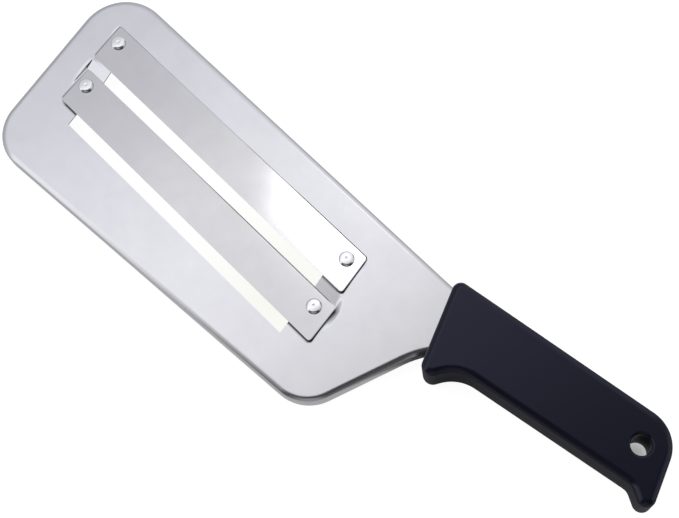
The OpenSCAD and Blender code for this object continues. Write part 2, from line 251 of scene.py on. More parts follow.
# %% Line across the seats
BLADE_W, BLADE_L, BLADE_T, TILT = 20.2, 172.5, 1.0, np.radians(5.6)
SLOT_GAP, SLOT_INSET, OVERHANG, SEAT_GAP = 6.1, 12.1, 2.8, 0.03
STAGGER, PAIR_REACH, PAIR_DROP = 5.3, 228.1, 43.8
CREST_PAST, CREST_LIP, CREST_FOOT, WALL_RUN = 0.4, 0.5, 1.3, 0.12
SEAT = TOP - BLADE_T
plan_w = BLADE_W * np.cos(TILT)
front_back = -PAIR_DROP - SLOT_GAP / 2
rear_back = front_back + plan_w + SLOT_GAP
rear_front = rear_back - plan_w
front_x, rear_x = -PAIR_REACH + STAGGER / 2, -PAIR_REACH - STAGGER / 2
seat_front = plan_w - OVERHANG * np.cos(TILT)
crest = seat_front + CREST_PAST
front_crest, rear_crest = front_back - crest, rear_back - crest
wall = rear_back + SEAT_GAP


def seat_height(back):
    """Height of a seat at a distance in front of the blade's back edge: seat + d * tan(tilt)."""
    return SEAT + back * np.tan(TILT)


line_y = np.array([front_crest - CREST_FOOT, front_crest - CREST_LIP, front_crest, front_back + SEAT_GAP,
                   rear_crest, wall, wall + WALL_RUN])
line_z = np.array([TOP, seat_height(crest), seat_height(crest), seat_height(-SEAT_GAP),
                   seat_height(crest), SEAT, TOP])
print("seats rise from", SEAT, "to", round(float(seat_height(crest)), 2), "mm")

# %% [markdown]
# ## Ends of the seats
# Towards the toe and the heel the seats end beside the blades. No two blades are laid quite alike:
# each may lie a little further on, be a little longer or be a little skew, and the ends follow it.
# A slanted coordinate makes the raked ends straight lines, so an end is one number for each y.

# %% Ends of the seats
FRONT_LAID, REAR_LAID = (0.75, 0.8, 0.0), (0.35, 0.05, 0.03)
TOE_LAP, RAMP_TOE, RAMP_SHORT, TURN = 0.6, 0.35, 0.9, 1.0
RAMP_FROM, RAMP_TO = 0.3, 0.8


def slant(x, y):
    """Slanted coordinate that is the same all along a raked end: x + y * rake."""
    return x + y * RAKE


def laid_end(x, back, laid, end, ahead):
    """Slanted coordinate of a blade's end (-1 toe, 1 heel) at a distance ahead of its back edge.
    How it is laid gives its shift, its extra length and its skew in mm for each mm ahead."""
    on, longer, skew = laid
    return slant(x + end * (BLADE_L + longer) / 2 + on, back - plan_w / 2) + skew * (ahead - plan_w / 2)


toe_end = slant(rear_x - BLADE_L / 2, rear_back - plan_w / 2) - SEAT_GAP
rear_toes = [laid_end(rear_x, rear_back, REAR_LAID, -1, ahead) - SEAT_GAP
             for ahead in (plan_w, plan_w / 2, 0)]
rear_heels = [laid_end(rear_x, rear_back, REAR_LAID, 1, ahead) + SEAT_GAP for ahead in (plan_w, 0)]
front_heel = laid_end(front_x, front_back, FRONT_LAID, 1, 0) + SEAT_GAP
toe_line = ((rear_front - TURN, rear_front, rear_back - plan_w / 2, rear_back),
            (toe_end + RAMP_TOE, rear_toes[0], rear_toes[1] + TOE_LAP, rear_toes[2] + TOE_LAP))
heel_line = ((front_back - TURN, front_back + RAMP_FROM, rear_front - RAMP_TO, rear_front, rear_back),
             (front_heel, front_heel - RAMP_SHORT, rear_heels[0] - RAMP_SHORT, *rear_heels))
print("the rear seat is", round(float(rear_heels[0] - rear_toes[0]), 1), "mm long")

# %% [markdown]
# ## Height of the pressed middle
# A press tool has round edges, so the line's corners are softened by taking the mean over a short
# stretch. What lies below the flat sheet ends at a wall, steep at first and then with a wide
# shoulder, and beside the front blade's heel the wall is a soft slope. What lies above the sheet
# fades out under the blades' ends. The gap behind the rear blade opens a little towards the heel.

# %% Height of the pressed middle
WALL_W, SHOULDER_W, HEEL_W, STEEP = 0.8, 2.4, 3.2, 0.8
FADE, CORNER_FADE, CORNER_START = 4.0, 1.0, 0.2
CREST_SOFT, WALL_SOFT, WALL_ZONE, SOFT_STEPS = 0.3, 0.14, 3.0, 9
OPENING = (0, 0.15, 0.25, 0.45, 0.55, 0.68, 0.75), (-0.06, -0.06, -0.14, -0.14, -0.04, -0.04, 0.12)


def smooth(t):
    """Smooth step from 0 to 1: 3 t^2 - 2 t^3."""
    t = np.clip(t, 0, 1)
    return t * t * (3 - 2 * t)


def pressed_height(p, y):
    """Mean of the line of heights over a short stretch, times a share that falls off at both ends:
    top + mean(line(y + stretch) - top) * share(p, y)."""
    soft = np.where(y < rear_back - WALL_ZONE, CREST_SOFT, WALL_SOFT)[..., None]
    opening = np.interp((p - toe_end) / BLADE_L, *OPENING)[..., None]
    stretch = soft * np.linspace(-1, 1, SOFT_STEPS) - opening
    z = np.interp(y[..., None] + stretch, line_y, line_z).mean(-1) - TOP
    from_toe = p - np.interp(y, *toe_line)
    to_heel = np.interp(y, *heel_line) - p
    heel_w = np.interp(y, [rear_front - TURN, rear_front], [HEEL_W, WALL_W / 2])
    steep = smooth((from_toe + WALL_W) / WALL_W) * smooth((to_heel + heel_w) / heel_w)
    wide = smooth((from_toe + SHOULDER_W) / SHOULDER_W) * smooth((to_heel + SHOULDER_W) / SHOULDER_W)
    to_corner = np.minimum(from_toe, to_heel) + np.maximum(wall - y, 0)
    low = (STEEP * steep + (1 - STEEP) * wide) * smooth((to_corner - CORNER_START) / CORNER_FADE)
    high = smooth((p - toe_end) / FADE) * smooth(to_heel / FADE)
    return TOP + z * np.where(z < 0, low, high)


half_way = np.array([toe_end + BLADE_L / 2])
print("height of the rear crest:", pressed_height(half_way, np.array([rear_crest])).round(2).tolist(), "mm")

# %% [markdown]
# ## Grid of the pressed middle
# The pressed middle is a grid in the slanted coordinate and y. Its lines lie close together where
# the height changes fast and far apart elsewhere, and some run along the edges of the slots, so that
# a slot is simply the quads that are left out.

# %% Grid of the pressed middle
FINE_P, COARSE_P, FINE_Y, COARSE_Y = 0.15, 3.0, 0.12, 2.0
NEAR_TOE, NEAR_HEELS, NEAR_CREST, NEAR_BACK = (-3.0, 1.8), (-1.5, 3.6), (-4.0, 0.5), (-0.4, 0.7)
NEAR_WALL, BEFORE_SLOT, BEHIND_WALL = (-0.3, 1.2), (-5.0, -4.0), (2.0, 3.0)
FRONT_SLOT_SHIFT = (-1.3, -0.9)


def stops(fine, coarse, *ranges):
    """Sorted grid lines: fine steps in the given ranges (low, high), and coarse steps between them."""
    lines = [np.linspace(a, b, max(2, int(np.ceil((b - a) / fine)) + 1)) for a, b in ranges]
    gaps = [np.linspace(a[-1], b[0], max(2, int(np.ceil((b[0] - a[-1]) / coarse)) + 1))[1:-1]
            for a, b in zip(lines, lines[1:])]
    return np.sort(np.concatenate([*lines, *gaps]))


slot_half = BLADE_L / 2 - SLOT_INSET
slot_ends = np.array([[slant(x + end * slot_half, back - plan_w / 2) for end in (-1, 1)]
                      for x, back in ((front_x, front_back), (rear_x, rear_back))])
slot_ends[0] += FRONT_SLOT_SHIFT
slot_sides = np.array([(back - plan_w - SLOT_GAP, back - seat_front) for back in (front_back, rear_back)])
heel_range = np.add((min(front_heel, *rear_heels), front_heel), NEAR_HEELS)
p_stops = stops(FINE_P, COARSE_P, np.add(toe_end, NEAR_TOE), heel_range)
y_ranges = [np.add(y, near) for y, near in (
    (front_crest - SLOT_GAP, BEFORE_SLOT), (front_crest, NEAR_CREST), (front_back, NEAR_BACK),
    (rear_crest, NEAR_CREST), (rear_back, NEAR_WALL), (rear_back, BEHIND_WALL))]
p_lines = np.unique(np.concatenate([p_stops, slot_ends.ravel()]))
y_lines = np.unique(np.concatenate([stops(FINE_Y, COARSE_Y, *y_ranges), slot_sides.ravel()]))
p_grid, y_grid = np.meshgrid(p_lines, y_lines, indexing="ij")
middle_upper = np.stack([p_grid - y_grid * RAKE, y_grid, pressed_height(p_grid, y_grid)], -1).reshape(-1, 3)
quads = grid_quads(len(p_lines), len(y_lines))
centre_p = p_grid.ravel()[quads].mean(1)
centre_y = y_grid.ravel()[quads].mean(1)
open_slot = np.zeros(len(quads), bool)
for (p0, p1), (y0, y1) in zip(slot_ends, slot_sides):
    open_slot |= (centre_p > p0) & (centre_p < p1) & (centre_y > y0) & (centre_y < y1)
print("pressed middle:", p_grid.shape, "open quads:", int(open_slot.sum()))

# %% [markdown]
# ## One closed sheet
# Rim and pressed middle are joined by flat triangles between the rim's last loop and the grid's
# border. The lower skin has the same faces, and walls close the rim's foot and the slots.
# Points that only the slots' missing quads used are dropped, so nothing loose is left behind.

# %% One closed sheet
rows, cols = rim_upper.shape[:2]
rim_size = rows * cols
plate_upper = np.concatenate([rim_upper.reshape(-1, 3), middle_upper])
plate_lower = np.concatenate([rim_lower.reshape(-1, 3), middle_upper - [0, 0, SHEET]])
number = np.arange(p_grid.size).reshape(p_grid.shape) + rim_size
border = np.concatenate([number[:-1, 0], number[-1, :-1], number[:0:-1, -1], number[0, :0:-1]])
rim_end = np.arange(cols) + rim_size - cols
flat = facing(plate_upper, flat_fill(plate_upper, rim_end, border), True)
skin = [grid_quads(rows, cols, True), quads[~open_slot] + rim_size, flat]
points, faces = two_skins(plate_upper, plate_lower, skin)
kept, renumbered = np.unique(np.concatenate([f.ravel() for f in faces]), return_inverse=True)
cuts = np.cumsum([f.size for f in faces])[:-1]
faces = [part.reshape(f.shape) for part, f in zip(np.split(renumbered, cuts), faces)]
plate_points = points[kept]
plate = make_piece("pressed_plate", plate_points, faces, "plate")

# %% [markdown]
# ## Painted shade beside the blades
# A thin dark line of painted shade lies where a blade's end or its cutting edge meets the plate,
# standing for the shadow in the narrow gap there. Each point of the plate's upper skin carries a
# share of it, worked out from its distance to the blade, and the finish darkens the steel by that share.

# %% Painted shade beside the blades
CORNER = 1.5
SHADE_END, SHADE_FRONT, SHADE_BACK, SHADE_CORNER = 0.8, 1.4, 1.5, 2.0
SHADE_RISE, SHADE_UNDER, SPREAD_W = 0.054, 1.5, 12.0
FRONT_SHADE = (0.4, 1.0), (1.0, 1.0), 2.0
REAR_SHADE = (0.6, 0.0), (0.9, 0.8), 0.0


def beside_blade(points, x, back, laid, toe, heel, spread):
    """Share of painted shade next to a blade's ends and its front: 1 - smooth(d / width) at a distance d
    outside.
    The shares at the toe and at the heel are pairs: beside the end and ahead of the front edge.
    Beside the heel the painted shade spreads wider towards the blade's back."""
    on, longer, skew = laid
    ahead = back - points[:, 1]
    past_front = ahead - plan_w
    middle = slant(x + on, back - plan_w / 2) + skew * (ahead - plan_w / 2)
    along = slant(points[:, 0], points[:, 1]) - middle
    past_end = np.abs(along) - (BLADE_L + longer) / 2
    at_toe = along < 0
    end_share, front_share = np.where(at_toe, np.reshape(toe, (2, 1)), np.reshape(heel, (2, 1)))
    width = SHADE_END + np.where(at_toe, 0, spread) * np.clip(1 - ahead / SPREAD_W, 0, 1)
    hidden = np.where(at_toe, SHADE_RISE, 0) * ahead
    ends = end_share * (1 - smooth((past_end - hidden) / width)) * smooth(-past_front / SHADE_CORNER)
    front = front_share * (1 - smooth(past_front / SHADE_FRONT)) * (1 - smooth(past_end / SHADE_END))
    band = smooth((np.maximum(past_end, past_front) + SHADE_UNDER) / SHADE_END) * smooth(ahead / SHADE_BACK)
    past_round = np.hypot(np.maximum(past_end + CORNER, 0), np.maximum(past_front + CORNER, 0)) - CORNER
    at_corner = smooth((np.minimum(past_end, past_front) + CORNER) / CORNER)
    return np.maximum(ends, front) * band * (1 - at_corner * smooth(past_round / width))


# Painted shade on the plate's upper skin beside both blades, standing for the shadow where they meet it.
painted_shade = np.maximum(beside_blade(plate_points, front_x, front_back, FRONT_LAID, *FRONT_SHADE),
                  beside_blade(plate_points, rear_x, rear_back, REAR_LAID, *REAR_SHADE))
carry_painted_shade(plate, np.where(kept < len(plate_upper), painted_shade, 0))

# %% [markdown]
# ## Blades
# A blade is a flat strip with round corners and slanted ends. From below it is ground thin along
# its cutting edge. Above, its ends are worn round, and its back edge less so. The two skins share one
# grid, so grind and wear only change heights, and its rows lie close together near the edges.

# %% Grid of a blade
GRIND, EDGE, EDGE_ROUND, BACK_KEEN = 2.2, 0.15, 0.3, 3
LINE_START, LINE_W = 0.25, 0.4
ROUND_STEPS, WORN_STEPS, ACROSS_STEPS, ALONG_STEPS = 9, 6, 12, 20


def seat_x(x, y):
    """Slant of the ends in the seat's frame, from the blade's middle: x - (y + width / 2) * rake."""
    return x - (y + BLADE_W / 2) * RAKE


def round_off(r, steps):
    """Distances from an edge at even angles round a quarter circle: r * (1 - cos a)."""
    return r * (1 - np.cos(np.linspace(0, np.pi / 2, steps)))


corner_rows = round_off(CORNER, ROUND_STEPS)
worn = np.append(round_off(EDGE_ROUND, WORN_STEPS), 1.5 * EDGE_ROUND)
# Rows across the blade where the painted shade along its back edge fades out.
shade_rows = LINE_START + LINE_W * np.array([0.25, 0.625, 1.0])
plain_rows = np.linspace(CORNER, BLADE_W - GRIND, ACROSS_STEPS)
across = np.unique(np.concatenate([worn / BACK_KEEN, shade_rows, corner_rows, plain_rows,
                                   BLADE_W - corner_rows]))
drop = np.maximum(CORNER - np.minimum(across, BLADE_W - across), 0)
half = BLADE_L / 2 - CORNER + np.sqrt(CORNER**2 - drop**2)
near_end = np.concatenate([worn, np.linspace(worn[-1], BLADE_L / 2, ALONG_STEPS)[1:-1]])
inward, back = np.meshgrid(np.concatenate([near_end, BLADE_L - near_end[::-1]]), across, indexing="ij")
blade_x = seat_x((inward / BLADE_L * 2 - 1) * half, -back)
to_edge = np.minimum(np.minimum(inward, BLADE_L - inward), BACK_KEEN * back)
fall = np.maximum(EDGE_ROUND - to_edge, 0)
over = BLADE_T - EDGE_ROUND + np.sqrt(EDGE_ROUND**2 - fall**2)
under = np.clip((back - BLADE_W + GRIND) / GRIND, 0, 1) * (BLADE_T - EDGE)
print("grid of a blade:", back.shape)

# %% [markdown]
# ## Two blades on their seats
# Both blades come from the one grid. Each is shifted, lengthened and skewed as it was laid, then
# tilted with its seat and moved to its place. Only the front blade has painted shade along its back.

# %% Two blades on their seats
BACK_LINE = (0.3, 0.6, 0.985, 0.995), (0, 1, 1, 0)


def on_seat(points, x, edge):
    """Points of a seat's frame placed in the row: turned by the tilt about x, then moved to its back edge."""
    c, s = np.cos(TILT), np.sin(TILT)
    px, py, pz = points[..., 0], points[..., 1], points[..., 2]
    return np.stack([px + x, py * c + pz * s + edge, pz * c - py * s + SEAT], -1)


blade_quads = grid_quads(*back.shape)[:, ::-1]
# Painted shade along the front blade's back edge, towards its heel end.
back_line = (1 - smooth((back - LINE_START) / LINE_W)) * np.interp(inward / BLADE_L, *BACK_LINE)
back_shade = np.concatenate([back_line.ravel(), np.zeros(back_line.size)])
blades = []
for name, x, edge, laid, shade_painted in (("front", front_x, front_back, FRONT_LAID, 1),
                                    ("rear", rear_x, rear_back, REAR_LAID, 0)):
    on, longer, skew = laid
    laid_x = blade_x * (1 + longer / BLADE_L) + on + skew * (back - BLADE_W / 2)
    skins = [on_seat(np.stack([laid_x, -back, z], -1), x, edge).reshape(-1, 3) for z in (over, under)]
    points, faces = two_skins(*skins, [blade_quads])
    blade = make_piece(f"{name}_strip_blade", points, faces, f"{name}_blade")
    carry_painted_shade(blade, shade_painted * back_shade)
    blades.append(blade)

# %% [markdown]
# ## Profile of a rivet
# Each rivet has a nearly flat crown with a small dimple from the setting punch, a round shoulder, a
# shank through blade and plate, and a closed tail below. It could be built from cones and spheres,
# but one profile from the top of its axis to the lower end says it all.

# %% Profile of a rivet
HEAD_R, HEAD_H, HEAD_RIM, HEAD_FOOT = 3.7, 1.4, 0.3, 0.08
CROWN_R, CROWN_H, CROWN_STEPS = 2.7, 0.12, 12
SHOULDER_FROM, SHOULDER_STEPS = 84, 10
DIMPLE_R, DIMPLE_H = 1.1, 0.13
SHANK_R, TAIL_R, TAIL_H, TAIL_RIM, TAIL_STEPS = 1.7, 2.8, 1.2, 0.3, 8
TAIL_IN, TAIL_FOOT, TAIL_SIDE, DOME_SHORT = 0.06, 0.08, 0.25, 0.15
grip = BLADE_T + SHEET * np.cos(TILT)


def dome(r, h, rim, steps):
    """Profile over a dome from its axis to near its rim: a circle through the top and the rim's edge."""
    rise = h - rim
    sphere = (r * r + rise * rise) / (2 * rise)
    reach = np.linspace(0, 1, steps) * (r - DOME_SHORT)
    return np.stack([reach, h - sphere + np.sqrt(sphere**2 - reach**2)], -1)


reach = np.linspace(0, 1, CROWN_STEPS) * CROWN_R
crown_z = HEAD_H - CROWN_H * (reach / CROWN_R) ** 2 - DIMPLE_H * (1 - smooth(reach / DIMPLE_R))
crown = np.stack([reach, crown_z], -1)
shoulder_angle = np.radians(np.linspace(SHOULDER_FROM, 0, SHOULDER_STEPS))
shoulder = unit(shoulder_angle) * [HEAD_R - CROWN_R, HEAD_H - CROWN_H - HEAD_RIM] + [CROWN_R, HEAD_RIM]
head_foot = [(HEAD_R, HEAD_FOOT), (HEAD_R - HEAD_FOOT, 0)]
shank = [(SHANK_R, 0), (SHANK_R, -grip)]
tail_foot = [(TAIL_R - TAIL_IN, -grip), (TAIL_R, -grip - TAIL_FOOT), (TAIL_R, -grip - TAIL_SIDE)]
tail = dome(TAIL_R, TAIL_H, TAIL_RIM, TAIL_STEPS)[::-1] * [1, -1] - [0, grip]
profile = np.concatenate([crown, shoulder, head_foot, shank, tail_foot, tail])
print("points of a rivet's profile:", len(profile))

# %% [markdown]
# ## Four rivets
# The profile is turned about its axis, with single points where it meets the axis. The four rivets
# are the same shape at both ends of both blades, square to the tilted seat.

# %% Four rivets
RIVET_COLS, RIVET_SHARP = 48, 50
RIVET_BACK, TOE_INSET, HEEL_INSET = 7.0, 5.5, 7.5


def turned_skin(profile, cols):
    """Rows of points of a profile of (radius, height) turned about the axis: (r cos a, r sin a, h)."""
    plan = profile[:, None, :1] * unit(np.linspace(0, 2 * np.pi, cols, endpoint=False))
    height = np.broadcast_to(profile[:, None, 1:], (len(profile), cols, 1))
    return np.concatenate([plan, height], 2).reshape(-1, 3)


def lathe(profile, cols):
    """A closed solid from a profile whose two ends lie on the axis and become single points."""
    skin = turned_skin(profile[1:-1], cols)
    poles = np.array([[0, 0, profile[0, 1]], [0, 0, profile[-1, 1]]])
    n = len(skin)
    here = np.arange(cols)
    after = (here + 1) % cols
    top = np.stack([np.full(cols, n), here, after], -1)
    low = np.stack([np.full(cols, n + 1), after + n - cols, here + n - cols], -1)
    return np.concatenate([skin, poles]), [top, grid_quads(len(profile) - 2, cols, True)[:, ::-1], low]


rivet_points, rivet_faces = lathe(profile, RIVET_COLS)
rivet_points = rivet_points + [0, 0, BLADE_T]
rivets = []
for blade_name, x, edge in (("front", front_x, front_back), ("rear", rear_x, rear_back)):
    for end_name, end, inset in (("toe", -1, TOE_INSET), ("heel", 1, HEEL_INSET)):
        spot = np.array([seat_x(end * (BLADE_L / 2 - inset), -RIVET_BACK), -RIVET_BACK, 0])
        name = f"{blade_name}_{end_name}_rivet"
        rivets.append(make_piece(f"{name}_domed", on_seat(rivet_points + spot, x, edge), rivet_faces,
                                 name, RIVET_SHARP))

# %% [markdown]
# ## The handle's outline
# The handle is moulded in one piece round the tang: a bolster in front, a hollow for the first
# finger, a straight belly and a hooked pommel. Six rounded corners give that outline, and the round
# edges of both faces are a profile carried round it, as on the plate.

# %% Outline of the handle
GRIP_HALF, EDGE_R, EDGE_STEPS, GRIP_STEPS = 12.0, 3.0, 13, 19
FRONT, BUTT, GRIP_BACK, BELLY = 103.5, 14.1, 15.2, 16.7
HOLLOW_REACH, HOOK_REACH = 82.3, 6.0
END_SLOPE, BELLY_SLOPE, BOLSTER_SLOPE, HOOK_SLOPE = 14.2, 1.2, 52, -36
BACK_R, BOLSTER_R, HOLLOW_R, HOOK_R, POMMEL_R, BUTT_R = 4.1, 4.7, 18.5, 6.0, 4.3, 17.5
front_edge = (-FRONT, 0), 90 + END_SLOPE
butt_edge = (BUTT, 0), 90 + END_SLOPE
back_edge = (0, GRIP_BACK), 0
hollow = meet((0, -BELLY), BELLY_SLOPE, (-HOLLOW_REACH, 0), 90)
hook = meet((0, -BELLY), BELLY_SLOPE, (HOOK_REACH, 0), 90)
grip_ring = rounded_ring([
    (meet(*front_edge, *back_edge), BACK_R), (meet(*front_edge, hollow, BOLSTER_SLOPE), BOLSTER_R),
    (hollow, HOLLOW_R), (hook, HOOK_R), (meet(*butt_edge, hook, HOOK_SLOPE), POMMEL_R),
    (meet(*butt_edge, *back_edge), BUTT_R)])
edge_bend = bend((EDGE_R, GRIP_HALF - EDGE_R), EDGE_R, 180, 90, EDGE_STEPS)
upper_edge = np.concatenate([edge_bend, [(EDGE_R + HOLD, GRIP_HALF)]])
side = np.concatenate([upper_edge[::-1] * [1, -1], upper_edge])
grip_skin = ring_loops(grip_ring, side + [WITHIN, 0], GRIP_STEPS)
grip_skin[..., :2] = turned(grip_skin[..., :2], np.radians(CANT))
print("points round the handle:", grip_skin.shape[1])

# %% [markdown]
# ## Hang hole and faces
# The hang hole goes right through and has a small round lip at both ends. It is a profile turned
# about the axis of the frame, and flat triangles fill both faces between the hole and the outline.

# %% Hang hole and faces
HOLE_R, LIP, LIP_STEPS, HOLE_COLS, GRIP_SHARP = 4.65, 1.0, 15, 64, 60
lip = bend((HOLE_R + LIP, GRIP_HALF - LIP), LIP, 90, 180, LIP_STEPS)
mouth = np.concatenate([[(HOLE_R + LIP + HOLD, GRIP_HALF)], lip])
bore = np.concatenate([mouth, mouth[::-1] * [1, -1]])
grip_rows, grip_cols = grip_skin.shape[:2]
grip_size = grip_rows * grip_cols
points = np.concatenate([grip_skin.reshape(-1, 3), turned_skin(bore, HOLE_COLS)])
loop_low = np.arange(grip_cols)
loop_high = loop_low + grip_size - grip_cols
hole_high = np.arange(HOLE_COLS) + grip_size
hole_low = hole_high + (len(bore) - 1) * HOLE_COLS
faces = [grid_quads(grip_rows, grip_cols, True),
         grid_quads(len(bore), HOLE_COLS, True) + grip_size,
         facing(points, flat_fill(points, loop_high, hole_high), True),
         facing(points, flat_fill(points, loop_low, hole_low), False)]
handle = make_piece("moulded_handle", points, faces, "handle", GRIP_SHARP)

# %% [markdown]
# ## Fine edges
# No real edge is perfectly sharp. A narrow bevel on the cut steel catches a thin line of light.

# %% Bevels on steel edges
BEVEL_W, BEVEL_FROM = 0.1 * MM, np.radians(50)
for piece in (plate, *blades):
    bevel = piece.modifiers.new("fine_edge", "BEVEL")
    bevel.width = BEVEL_W
    bevel.segments = 2
    bevel.limit_method = "ANGLE"
    bevel.angle_limit = BEVEL_FROM
    bevel.harden_normals = True
print("bevelled:", 1 + len(blades), "pieces")

# %% [markdown]
# ## Satin grain
# Rolled and tumbled steel and moulded plastic share one effect: a very fine grain over broad,
# faint clouds. It is one node group, placed in every material with its own colours and depths.

# %% Grain group
CLOUD_DETAIL, CLOUD_ROUGHNESS, GRAIN_DETAIL = 5, 0.65, 2


def mixed(tree, factor, a, b, colours=True):
    """A mix of two colours or numbers; each of them is a value or the output of another node."""
    node = tree.nodes.new("ShaderNodeMix")
    node.data_type = "RGBA" if colours else "FLOAT"
    for name, value in (("Factor", factor), ("A", a), ("B", b)):
        if isinstance(value, bpy.types.NodeSocket):
            tree.links.new(value, node.inputs[name])
        else:
            node.inputs[name].default_value = value
    return node.outputs["Result"]


def noise_at(tree, scale, detail, roughness=0.5):
    """Noise over the object's own coordinates, with its scale from a socket."""
    node, place = tree.nodes.new("ShaderNodeTexNoise"), tree.nodes.new("ShaderNodeTexCoord")
    node.inputs["Detail"].default_value = detail
    node.inputs["Roughness"].default_value = roughness
    tree.links.new(place.outputs["Object"], node.inputs["Vector"])
    tree.links.new(scale, node.inputs["Scale"])
    return node.outputs["Fac"]


def grain_group():
    """Node group: clouds mix two colours, grain varies the roughness and gives a height for a bump."""
    group = bpy.data.node_groups.new("satin_grain", "ShaderNodeTree")
    for name in ("Light", "Dark"):
        group.interface.new_socket(name, in_out="INPUT", socket_type="NodeSocketColor")
    for name in ("Cloud Scale", "Grain Scale", "Roughness Low", "Roughness High"):
        group.interface.new_socket(name, in_out="INPUT", socket_type="NodeSocketFloat")
    group.interface.new_socket("Color", in_out="OUTPUT", socket_type="NodeSocketColor")
    for name in ("Roughness", "Height"):
        group.interface.new_socket(name, in_out="OUTPUT", socket_type="NodeSocketFloat")
    given = group.nodes.new("NodeGroupInput").outputs
    made = group.nodes.new("NodeGroupOutput").inputs
    cloud = noise_at(group, given["Cloud Scale"], CLOUD_DETAIL, CLOUD_ROUGHNESS)
    grain = noise_at(group, given["Grain Scale"], GRAIN_DETAIL)
    rough = mixed(group, grain, given["Roughness Low"], given["Roughness High"], colours=False)
    group.links.new(mixed(group, cloud, given["Dark"], given["Light"]), made["Color"])
    group.links.new(rough, made["Roughness"])
    group.links.new(grain, made["Height"])
    return group


satin_grain = grain_group()
print("grain sockets:", [s.name for s in satin_grain.interface.items_tree])

# %% [markdown]
# ## A finish
# Every material is one Principled shader fed by the grain group. Where a piece carries painted
# shade, the colour is mixed with a dark grey by each point's share, so the dark lines need no extra geometry.

# %% Finish function
# The dark grey of the painted shade beside the blades.
SHADE_COLOUR = (0.04, 0.04, 0.045, 1)
GRAIN_DEPTH = 0.1 * MM


def darkened_by_shade(tree, colour):
    """A colour with painted shade mixed in by the share that each point carries."""
    share = tree.nodes.new("ShaderNodeAttribute")
    share.attribute_name = "painted_shade"
    return mixed(tree, share.outputs["Fac"], colour, SHADE_COLOUR)


def finish(name, light, dark, cloud, grain, rough, bump, metal=1, specular=0.5, tint=(1, 1, 1), shade_painted=False):
    """A Principled material whose colour, roughness and normal come from the grain group."""
    material = bpy.data.materials.new(name)
    material.use_nodes = True
    tree = material.node_tree
    shader = tree.nodes["Principled BSDF"].inputs
    shader["Metallic"].default_value = metal
    shader["Specular IOR Level"].default_value = specular
    shader["Specular Tint"].default_value = (*tint, 1)
    effect = tree.nodes.new("ShaderNodeGroup")
    effect.node_tree = satin_grain
    for socket, value in (("Light", (*light, 1)), ("Dark", (*dark, 1)), ("Cloud Scale", cloud),
                          ("Grain Scale", grain), ("Roughness Low", rough[0]), ("Roughness High", rough[1])):
        effect.inputs[socket].default_value = value
    relief = tree.nodes.new("ShaderNodeBump")
    relief.inputs["Strength"].default_value = bump
    relief.inputs["Distance"].default_value = GRAIN_DEPTH
    colour = effect.outputs["Color"]
    tree.links.new(darkened_by_shade(tree, colour) if shade_painted else colour, shader["Base Color"])
    tree.links.new(effect.outputs["Roughness"], shader["Roughness"])
    tree.links.new(effect.outputs["Height"], relief.inputs["Height"])
    tree.links.new(relief.outputs["Normal"], shader["Normal"])
    print(f"{name}: {len(tree.nodes)} nodes")
    return material


# %% [markdown]
# ## Finishes
# The plate is satin stainless sheet with a faint mottle, the blades are ground smoother and a little
# darker, and the rivets are bright. The handle is a nearly black plastic with a cool cast.

# %% Materials
plate_finish = finish("satin_sheet", light=(0.685, 0.685, 0.705), dark=(0.595, 0.595, 0.615),
                      cloud=70, grain=2600, rough=(0.20, 0.24), bump=0.01, shade_painted=True)
blade_finish = finish("ground_strip", light=(0.64, 0.64, 0.645), dark=(0.55, 0.55, 0.555),
                      cloud=80, grain=2600, rough=(0.10, 0.13), bump=0.005, shade_painted=True)
rivet_finish = finish("bright_dome", light=(0.84, 0.84, 0.86), dark=(0.78, 0.78, 0.80),
                      cloud=200, grain=3000, rough=(0.20, 0.26), bump=0.01)
grip_finish = finish("black_moulding", light=(0.0073, 0.0070, 0.0155), dark=(0.0065, 0.0062, 0.0138),
                     cloud=20, grain=1800, rough=(0.20, 0.25), bump=0.02,
                     metal=0, specular=0.40, tint=(0.68, 0.70, 1))
for piece, material in ((plate, plate_finish), *((blade, blade_finish) for blade in blades),
                        *((rivet, rivet_finish) for rivet in rivets), (handle, grip_finish)):
    piece.data.materials.append(material)
print("finishes:", [m.name for m in bpy.data.materials if m.users])

# %% [markdown]
# ## Floor
# The cutter lies on the front of its handle and on the foot of its toe, so the floor leans by a
# degree. It is one large quad, and it is not attached to the part.

# %% Floor
FLOOR_REACH, FLOOR_BELOW = 3000.0, 0.05
LEAN = (GRIP_HALF + foot) / (TOE - FRONT)
floor_x = np.array([-FLOOR_REACH, FLOOR_REACH])
floor_z = -GRIP_HALF - FLOOR_BELOW + (-FRONT - floor_x) * LEAN
floor_mesh = bpy.data.meshes.new("floor")
floor_corners = [(x, y, z) for x, z in zip(floor_x, floor_z) for y in floor_x]
floor_mesh.from_pydata((np.array(floor_corners) * MM).tolist(), [], [(0, 2, 3, 1)])
floor = bpy.data.objects.new("floor", floor_mesh)
bpy.context.scene.collection.objects.link(floor)
print("floor leans by", round(float(np.degrees(np.arctan(LEAN))), 2), "degrees")

# %% [markdown]
# ## The floor's light
# The floor is matt paper that takes a soft shadow. To come out white it also shines by itself, but
# only to the camera and a little to the steel that mirrors it. Its own light is lower under the
# hang hole, as painted shade where the real floor lies in shade, and it is faintly warm below the
# slots' heel ends, as a painted warm cast of light. Near the handle the steel mirrors none of it, as
# painted shade, apart from a painted ring of light under the hang hole that the bore's wall mirrors.

# %% Light of the floor
PAPER = (0.37, 0.37, 0.37, 1)
